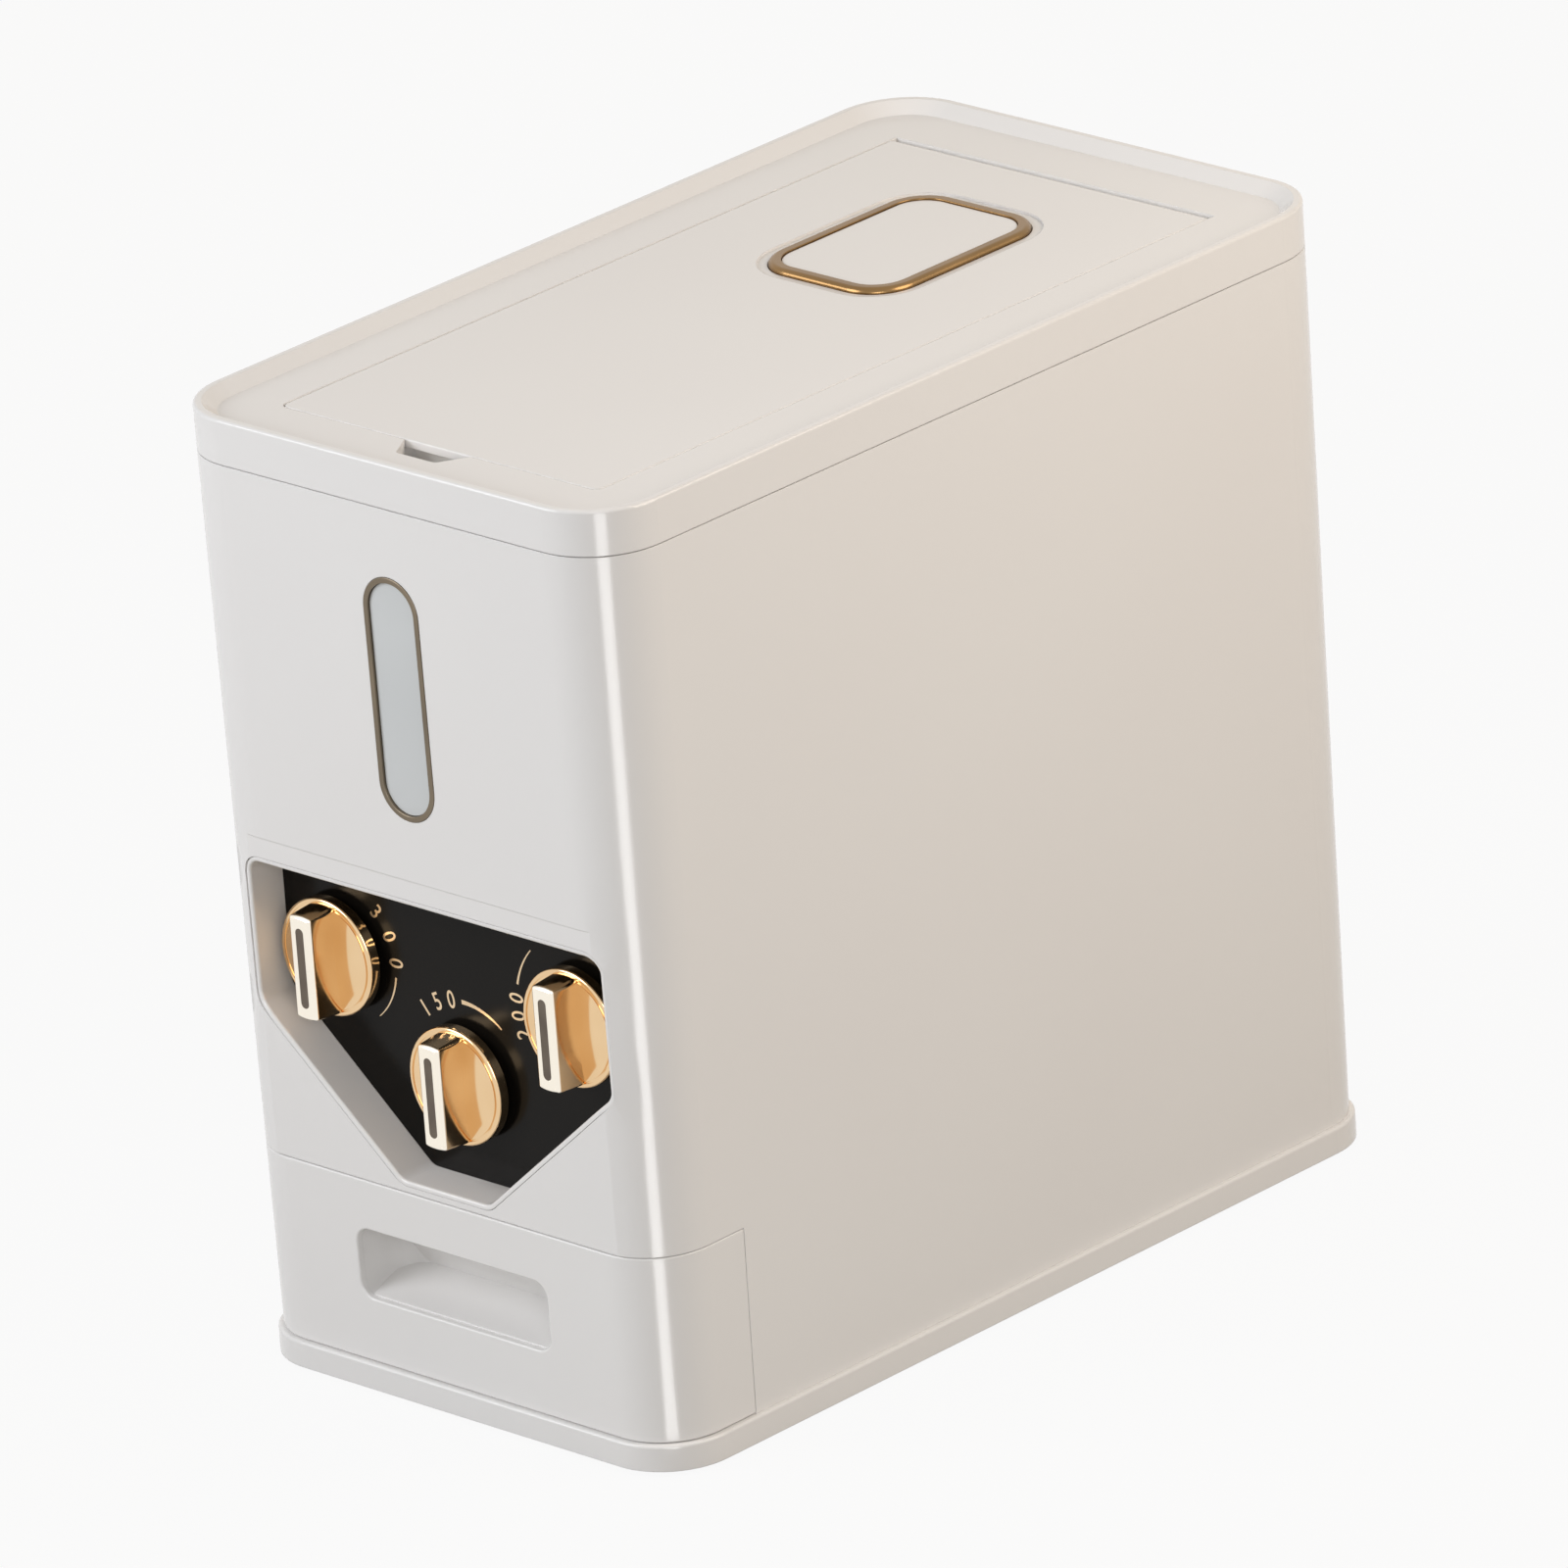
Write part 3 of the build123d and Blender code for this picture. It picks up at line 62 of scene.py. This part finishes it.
# %% Colour and node helpers
def linear(code, alpha=1.0):
    """A hex colour such as "#c08a5a" as linear red, green, blue and alpha."""
    channels = [int(code[i : i + 2], 16) / 255 for i in (1, 3, 5)]
    return (*[c / 12.92 if c <= 0.04045 else ((c + 0.055) / 1.055) ** 2.4 for c in channels], alpha)


def add(tree, kind, values=None, links=None, **settings):
    """Adds one node: settings are its properties, values and links fill its sockets."""
    node = tree.nodes.new(kind)
    for name, value in settings.items():
        setattr(node, name, value)
    for socket, value in (values or {}).items():
        node.inputs[socket].default_value = value
    for socket, source in (links or {}).items():
        tree.links.new(source, node.inputs[socket])
    return node


def put_in_scene(name, data):
    """A new object of the scene, made of a mesh, a lamp or a camera."""
    thing = bpy.data.objects.new(name, data)
    bpy.context.scene.collection.objects.link(thing)
    return thing


def start(name):
    """An empty node material and its tree."""
    material = bpy.data.materials.new(name)
    material.use_nodes = True
    material.node_tree.nodes.clear()
    return material, material.node_tree


print("casing white in linear light", [round(c, 3) for c in linear("#ebeae8")[:3]])

# %% [markdown]
# ## What every moulded or plated skin shares
#
# No real surface is one flat value. A moulded wall takes the fine spark-eroded grain of its steel
# mould, its gloss drifts a little from place to place, and its colour is never perfectly even. The
# next function makes all three from noise that is measured in millimetres: a slow drift for colour and
# gloss, and a fine grain for the bump. Each finish then says only how much of each it has. Where a
# mould leaves its edges slightly round, the Bevel node rounds them in the shading, so that every rim
# and seam catches a fine line of light as the real ones do.


# %% A finish with drift and grain
def finish(name, light, dark, gloss, drift_mm, grain_mm, grain_height_mm, edge_mm=0.0, **shader):
    """A principled material: colour between two hexes, roughness between two values, grain as bump."""
    material, tree = start(name)
    place = add(tree, "ShaderNodeTexCoord")
    drift = add(tree, "ShaderNodeTexNoise", {"Scale": 1 / (drift_mm * MM), "Detail": 0.0},
                {"Vector": place.outputs["Object"]})
    grain = add(tree, "ShaderNodeTexNoise", {"Scale": 1 / (grain_mm * MM), "Detail": 2.0},
                {"Vector": place.outputs["Object"]})
    colour = add(tree, "ShaderNodeMix", {"A": linear(dark), "B": linear(light)},
                 {"Factor": drift.outputs["Fac"]}, data_type="RGBA")
    rough = add(tree, "ShaderNodeMapRange", {"To Min": gloss[0], "To Max": gloss[1]},
                {"Value": drift.outputs["Fac"]})
    bump = add(tree, "ShaderNodeBump", {"Strength": 1.0, "Distance": grain_height_mm * MM},
               {"Height": grain.outputs["Fac"]})
    if edge_mm:
        edges = add(tree, "ShaderNodeBevel", {"Radius": edge_mm * MM}, samples=6)
        tree.links.new(edges.outputs["Normal"], bump.inputs["Normal"])
    skin = add(tree, "ShaderNodeBsdfPrincipled", shader,
               {"Base Color": colour.outputs["Result"], "Roughness": rough.outputs["Result"],
                "Normal": bump.outputs["Normal"]})
    add(tree, "ShaderNodeOutputMaterial", links={"Surface": skin.outputs["BSDF"]})
    return material


# %% [markdown]
# ## Gloss white ABS
#
# The casing is injection moulded ABS, polished in the mould. ABS has an index of about 1.53, so it
# mirrors about a twentieth of the light head on and much more at a glancing angle, which gives the
# bright edge lines round the rim and the corners. The grain of the mould is about 0.3 mm; it is drawn
# at 0.8 mm, because the real one is finer than a pixel of the picture.

# %% White casing
white_abs = finish("gloss_white_abs", "#ebeae8", "#e9e7e5", (0.15, 0.2), 90, 0.8, 0.003,
                   edge_mm=0.45, IOR=1.53)

# %% [markdown]
# ## Rose gold plating
#
# The knobs are ABS with a vacuum-metallised rose gold skin under lacquer. A metal has no colour of
# its own under the shine: the base colour tints the mirror image of the room. The roughness stays
# low, so that the black panel shows brown in the flanks of the grips and the white table shows as a
# pale gold band on the discs.

# %% Plated finishes
rose_gold = finish("rose_gold_plating", "#efd0a6", "#e5c294", (0.09, 0.14), 12, 0.5, 0.0006, Metallic=1.0)
satin_gold = finish("satin_gold_plating", "#94754e", "#836642", (0.2, 0.28), 20, 0.4, 0.002, Metallic=1.0)
bronze = finish("bronze_lacquered_frame", "#877a68", "#72685a", (0.28, 0.4), 20, 0.4, 0.002, Metallic=1.0)
inlay_metal = finish("brushed_taupe_strip", "#746a5e", "#625850", (0.3, 0.42), 6, 0.3, 0.003, Metallic=1.0)
zinc_steel = finish("zinc_plated_steel", "#b9bcbd", "#a3a6a8", (0.28, 0.42), 5, 0.3, 0.002, Metallic=1.0)

# %% [markdown]
# The front of each grip is painted almost white, a painted highlight for the bright line along the flat frame
# round the strip. The place
#  of a point along the knob's axis decides: the grip has the painted highlight at its front and is gold
#  further back, and the one fades into the other between the two depths below.

# %% Painted highlight on the front of the grips
highlight_to = 0.9 * MM
gold_from = 1.3 * MM
knob = nodes["knob_left"]
front_y = (knob.matrix_world.inverted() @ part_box("knob_left")[0]).y
tree = rose_gold.node_tree
skin = next(node for node in tree.nodes if node.type == "BSDF_PRINCIPLED")
gold = skin.inputs["Base Color"].links[0].from_socket
place = add(tree, "ShaderNodeTexCoord")
depth = add(tree, "ShaderNodeSeparateXYZ", links={0: place.outputs["Object"]})
highlight_mask = add(tree, "ShaderNodeMapRange", {"From Min": front_y + gold_from, "From Max": front_y + highlight_to},
                 {"Value": depth.outputs["Y"]})
# The near-white colour is a painted highlight on the front of each grip.
painted_highlight = add(tree, "ShaderNodeMix", {"B": linear("#fdf5e6")},
             {"Factor": highlight_mask.outputs["Result"], "A": gold}, data_type="RGBA")
tree.links.new(painted_highlight.outputs["Result"], skin.inputs["Base Color"])
print("grip fronts at y", round(front_y / MM, 1), "mm")

# %% [markdown]
# ## The black dial panel
#
# The panel is a black ABS plate with a clear hard coat. Only its reflections show, so its grain is
# almost nothing and its specular level is lowered to what a coated black plate gives head on.

# %% Black and hidden plastics
black_abs = finish("gloss_black_abs", "#15120f", "#100e0b", (0.16, 0.24), 40, 0.6, 0.001,
                   **{"IOR": 1.5, "Specular IOR Level": 0.11})
satin_pp = finish("satin_white_polypropylene", "#e6e4e0", "#dcdad5", (0.42, 0.55), 40, 0.8, 0.006, IOR=1.49)
grey_pom = finish("grey_acetal", "#aab0b2", "#9ba1a4", (0.34, 0.46), 30, 0.7, 0.004, IOR=1.48)
silicone = finish("grey_silicone_rubber", "#8d8d8b", "#7f7f7d", (0.6, 0.75), 15, 0.6, 0.008, IOR=1.42)

# %% [markdown]
# ## Clear pieces
#
# The window is a moulded polycarbonate strip with a frosted back, so it shows pale grey blue and not
# the dark inside of the bin. The tray of the drawer is styrene, milky and smooth.

# %% Clear pieces
frosted_pane = finish("frosted_polycarbonate", "#dcdfdf", "#d2d5d5", (0.14, 0.22), 30, 0.6, 0.002,
                      **{"IOR": 1.58, "Transmission Weight": 0.12})
milky_tray = finish("milky_styrene", "#e4e6e4", "#dadcda", (0.18, 0.28), 40, 0.8, 0.003,
                    **{"IOR": 1.57, "Transmission Weight": 0.25})
gold_ink = finish("gold_foil_print", "#ecd6b6", "#dcc09a", (0.3, 0.45), 8, 0.4, 0.001, Metallic=1.0)

# %% [markdown]
# ## Dressing the pieces
#
# Each piece already has a material slot. The table below names the finish of every slot of the
# record, and single pieces that differ from their neighbours come after it.

# %% Hand the finishes out
finish_of_slot = {
    "white_shell": white_abs,
    "inner_plastic": satin_pp,
    "drum_plastic": grey_pom,
    "black_panel": black_abs,
    "clear_pane": frosted_pane,
    "gold_trim": satin_gold,
    "rose_gold": rose_gold,
    "grip_inlay": inlay_metal,
    "rubber": silicone,
    "clear_tray": milky_tray,
    "steel": zinc_steel,
}
finish_of_node = {"window_frame": bronze}
for part in frame["record"]["subparts"]:
    material = finish_of_node.get(part["node"], finish_of_slot[part["material_slot"]])
    piece = nodes[part["node"]]
    piece.data.materials.clear()
    piece.data.materials.append(material)
print("dressed", len(nodes), "pieces")

# %% [markdown]
# ## Dial marks
#
# Beside each knob the panel has a plain number of grams and a thin arc, printed in gold foil. The
# numbers follow a circle round the knob, read clockwise. Each digit is a letter shape of Blender's
# own font, turned into a mesh and laid on the panel, and each arc is a flat ribbon that tapers to
# its far end, as the photograph shows.

# %% Dial mark helpers
ink_lift = 0.03 * MM
print_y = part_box("dial_panel")[0].y - ink_lift
ink_thickness = 0.02 * MM


def on_circle(centre, radius, clock):
    """The point of a circle on the panel, with its angle from twelve o'clock, clockwise."""
    turn = math.radians(clock)
    return Vector((centre[0] + radius * math.sin(turn), print_y, centre[1] + radius * math.cos(turn)))


def lay_on_panel(name, mesh):
    """Makes a mesh a mark of gold ink that stays with the panel."""
    mesh.materials.clear()
    mesh.materials.append(gold_ink)
    mesh.name = name
    piece = put_in_scene(name, mesh)
    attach(piece, "root")


# %% Printed arcs
arc_steps = 24
arc_taper = 0.6  # share of its width that an arc loses towards its end


def printed_arc(name, centre, radius, clock_from, clock_to, width):
    """A ribbon along a circle, wide at its start and narrow at its end."""
    vertices, faces = [], []
    for step in range(arc_steps + 1):
        share = step / arc_steps
        half = width * (1 - arc_taper * share) / 2
        clock = clock_from + (clock_to - clock_from) * share
        for reach in (radius - half, radius + half):
            vertices.append(on_circle(centre, reach, clock))
        if step:
            last = 2 * step
            faces.append((last - 2, last - 1, last + 1, last))
    mesh = bpy.data.meshes.new(name)
    mesh.from_pydata(vertices, [], faces)
    mesh.update()
    lay_on_panel(name, mesh)


# %% Printed numbers
digit_height = 6.4 * MM
digit_squeeze = 0.82
digit_share = 0.72  # height of a digit as a share of the font's size
digit_bolder = 0.08 * MM


def printed_digit(name, text, centre, radius, clock):
    """One digit whose foot points at the knob's axis."""
    letter = bpy.data.curves.new(name, "FONT")
    letter.body = text
    letter.size = digit_height / digit_share
    letter.align_x = "CENTER"
    letter.align_y = "CENTER"
    letter.offset = digit_bolder
    letter.extrude = ink_thickness / 2
    scratch = bpy.data.objects.new(name, letter)
    mesh = bpy.data.meshes.new_from_object(scratch)
    bpy.data.objects.remove(scratch)
    upright = Matrix.Rotation(math.radians(90), 4, "X")
    lean = Matrix.Rotation(math.radians(clock), 4, "Y")
    squeeze = Matrix.Scale(digit_squeeze, 4, Vector((1, 0, 0)))
    spot = Matrix.Translation(on_circle(centre, radius, clock))
    mesh.transform(spot @ lean @ upright @ squeeze)
    lay_on_panel(name, mesh)


# %% Print the marks
def axis_of(side):
    """Where a knob's axis meets the panel, from the strip in the middle of its grip."""
    low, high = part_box("inlay_" + side)
    return ((low.x + high.x) / 2, (low.z + high.z) / 2)


# For each knob: radius of the marks in mm, the number, the clock angle of each digit in degrees, the
# arc's first and last clock angle, and its width in mm.
dial_marks = {
    "left": (25.6, "300", (45, 66, 87), (99, 141), 0.8),
    "middle": (28.2, "150", (321, 335, 349), (359, 398), 1.6),
    "right": (30.2, "200", (249, 261, 273), (283, 313), 0.9),
}
for side, (radius_mm, number, clocks, arc, width_mm) in dial_marks.items():
    centre = axis_of(side)
    printed_arc("printed_arc_" + side, centre, radius_mm * MM, *arc, width_mm * MM)
    for place, (text, clock) in enumerate(zip(number, clocks)):
        printed_digit(f"printed_digit_{side}_{place + 1}", text, centre, radius_mm * MM, clock)
    print(side, "axis at", [round(c / MM, 1) for c in centre])

# %% [markdown]
# ## The table and the backdrop
#
# The object stands on a plain white sheet. The sheet is a pale diffuse surface that keeps the soft
# shadow, and for rays that come from the camera, a mirror or a clear piece it also glows a little,
# so that it reads as white without any more light on the object.

# %% Floor
floor_mesh = bpy.data.meshes.new("floor")
reach = 6.0
floor_mesh.from_pydata([(-reach, -reach, 0), (reach, -reach, 0), (reach, reach, 0), (-reach, reach, 0)],
                       [], [(0, 1, 2, 3)])
floor = put_in_scene("floor", floor_mesh)


def seen_directly(tree):
    """One for rays from the camera, a mirror or a clear piece, and zero for the light that falls."""
    path = add(tree, "ShaderNodeLightPath")
    camera_or_mirror = {0: path.outputs["Is Camera Ray"], 1: path.outputs["Is Glossy Ray"]}
    shiny = add(tree, "ShaderNodeMath", links=camera_or_mirror, operation="MAXIMUM")
    or_clear = {0: shiny.outputs[0], 1: path.outputs["Is Transmission Ray"]}
    return add(tree, "ShaderNodeMath", links=or_clear, operation="MAXIMUM").outputs[0]


paper_glow = 0.93  # share of white glow; the rest shows the lit sheet and its shadow
paper, tree = start("white_paper_sweep")
share = add(tree, "ShaderNodeMath", {1: paper_glow}, {0: seen_directly(tree)}, operation="MULTIPLY")
matt = add(tree, "ShaderNodeBsdfDiffuse", {"Color": linear("#aeaca8")})
glow = add(tree, "ShaderNodeEmission", {"Color": (1, 1, 1, 1), "Strength": 1.0})
both = add(tree, "ShaderNodeMixShader", links={0: share.outputs[0], 1: matt.outputs[0], 2: glow.outputs[0]})
add(tree, "ShaderNodeOutputMaterial", links={"Surface": both.outputs[0]})
floor_mesh.materials.append(paper)

# %% [markdown]
# ## Light
#
# The photograph has one soft window light from the front left, high up, so the front is bright and
# neutral, the side that faces right is dimmer and warmer, and the top is warm. Four large soft lamps
# do the same, with a dim even sky to open the shadows: the window light for the front, one by the
# camera for the corner, a warm one for the right side, and a warm one behind for the back and the top.
# The last one is kept out of mirrors, since the top would mirror it straight into the camera.

# %% Lamps and sky
world = bpy.data.worlds.new("studio")
bpy.context.scene.world = world
world.use_nodes = True
sky = world.node_tree
sky.nodes.clear()
dim = add(sky, "ShaderNodeBackground", {"Color": linear("#f4f1ec"), "Strength": 0.26})
white = add(sky, "ShaderNodeBackground", {"Color": (1, 1, 1, 1), "Strength": 1.0})
mixed = add(sky, "ShaderNodeMixShader",
            links={0: seen_directly(sky), 1: dim.outputs[0], 2: white.outputs[0]})
add(sky, "ShaderNodeOutputWorld", links={"Surface": mixed.outputs[0]})


def lamp(name, spot, target, size, power, colour, mirrored=True):
    """A soft disc lamp that points at its target. The camera never sees it, mirrors may."""
    light = bpy.data.lights.new(name, "AREA")
    light.shape = "DISK"
    light.size = size
    light.energy = power
    light.color = linear(colour)[:3]
    holder = put_in_scene(name, light)
    holder.location = spot
    holder.rotation_mode = "QUATERNION"
    holder.rotation_quaternion = (Vector(target) - Vector(spot)).to_track_quat("-Z", "Y")
    holder.visible_camera = False
    holder.visible_glossy = mirrored


middle = (0, 0, 0.17)
lamp("window_light", (-0.75, -1.35, 1.0), middle, 1.1, 16.5, "#f8faff")
lamp("corner_fill", (1.15, -1.3, 0.75), middle, 0.8, 6.5, "#fbfcff")
lamp("side_fill", (0.8, 0.32, 0.85), middle, 0.75, 6.2, "#fff0e0")
lamp("back_fill", (-1.1, 1.3, 1.0), middle, 1.2, 6.0, "#ffdfae", mirrored=False)

# %% [markdown]
# The rounded upright corner that faces the camera mirrors one narrow fan of the floor in front of it.
# A bright strip lies there, a fan that opens from the corner's own centre. Mirror rays alone see it,
# and it draws the thin upright gleam that tells the eye the casing is polished. Light linking keeps it
# to the polished casing, so that it doesn't flash in the gold knobs.

# %% Strip for the gleam on the corner
corner_mm = (74.0, -154.5)
near_mm, far_mm = 45, 1000
bearing_low, bearing_high = 38, 54  # degrees from straight ahead of the front, towards the right
strip_height_mm = 2
fan_mesh = bpy.data.meshes.new("gleam_strip")
fan = []
for reach_mm, bearing in ((near_mm, bearing_low), (near_mm, bearing_high),
                          (far_mm, bearing_high), (far_mm, bearing_low)):
    swing = math.radians(bearing)
    fan.append(((corner_mm[0] + reach_mm * math.sin(swing)) * MM,
                (corner_mm[1] - reach_mm * math.cos(swing)) * MM, strip_height_mm * MM))
fan_mesh.from_pydata(fan, [], [(0, 1, 2, 3)])
strip_light, tree = start("gleam_strip_light")
shine = add(tree, "ShaderNodeEmission", {"Color": (1, 1, 1, 1), "Strength": 7.0})
clear = add(tree, "ShaderNodeBsdfTransparent")
sheet = add(tree, "ShaderNodeAddShader", links={0: shine.outputs[0], 1: clear.outputs[0]})
add(tree, "ShaderNodeOutputMaterial", links={"Surface": sheet.outputs[0]})
fan_mesh.materials.append(strip_light)
gleam = put_in_scene("gleam_strip", fan_mesh)
gleam.visible_camera = False
gleam.visible_diffuse = False
gleam.visible_transmission = False
gleam.visible_shadow = False
polished = bpy.data.collections.new("polished_casing")
for name in ("body_shell", "top_rim", "drawer_front", "base_tray"):
    polished.objects.link(nodes[name])
gleam.light_linking.receiver_collection = polished

# %% [markdown]
# ## The camera
#
# The camera stands high at the front right, far away, with a long lens: the object's edges hardly
# converge in the photograph. Its place and turn are real distances, found by matching the corners
# of the object.

# %% Camera
camera_data = bpy.data.cameras.new("camera")
camera_data.sensor_width = 36.0
camera_data.lens = 427.5
camera_data.clip_end = 50.0
camera = put_in_scene("camera", camera_data)
camera_spot = (4.0976, -4.1820, 2.4988)
right = Vector((0.73153136, 0.67821413, -0.06991047)).normalized()
forward = Vector((-0.65046796, 0.66349732, -0.36967924)).normalized()
up = right.cross(forward).normalized()
turn = Matrix((right, up, -forward)).transposed().to_4x4()
camera.matrix_world = Matrix.Translation(camera_spot) @ turn
bpy.context.scene.camera = camera
bpy.context.scene.view_settings.view_transform = "Standard"
